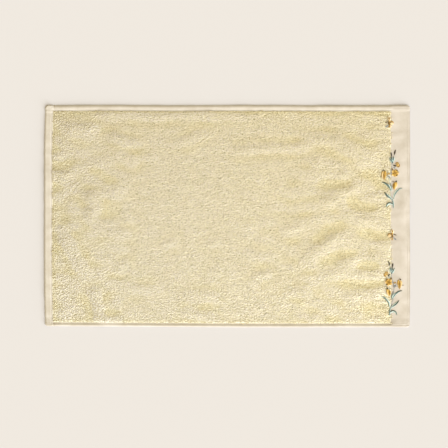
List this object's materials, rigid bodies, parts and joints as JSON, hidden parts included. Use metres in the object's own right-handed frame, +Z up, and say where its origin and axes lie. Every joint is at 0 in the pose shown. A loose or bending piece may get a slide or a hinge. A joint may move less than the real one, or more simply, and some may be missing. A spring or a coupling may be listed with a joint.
{
  "type": "hand towel",
  "caption": "Small rectangular terry hand towel laid flat, with hemmed edges, gentle ripples and a flat woven band at one end",
  "frame": {"origin": "centre of the towel's bounding box, on the surface the towel lies on", "axes": "+X along the towel to the woven band, +Y across it, +Z up out of the surface"},
  "size_m": [0.5014, 0.3048, 0.0069],
  "materials": {
    "terry_pile": "matte",
    "ground_weave": "matte",
    "woven_band": "matte",
    "hem_stitching": "matte",
    "gold_thread": "satin",
    "teal_thread": "satin",
    "brown_thread": "satin",
    "grey_thread": "satin"
  },
  "bodies": {
    "root": {"towel": "terry_pile"}
  },
  "joints": []
}
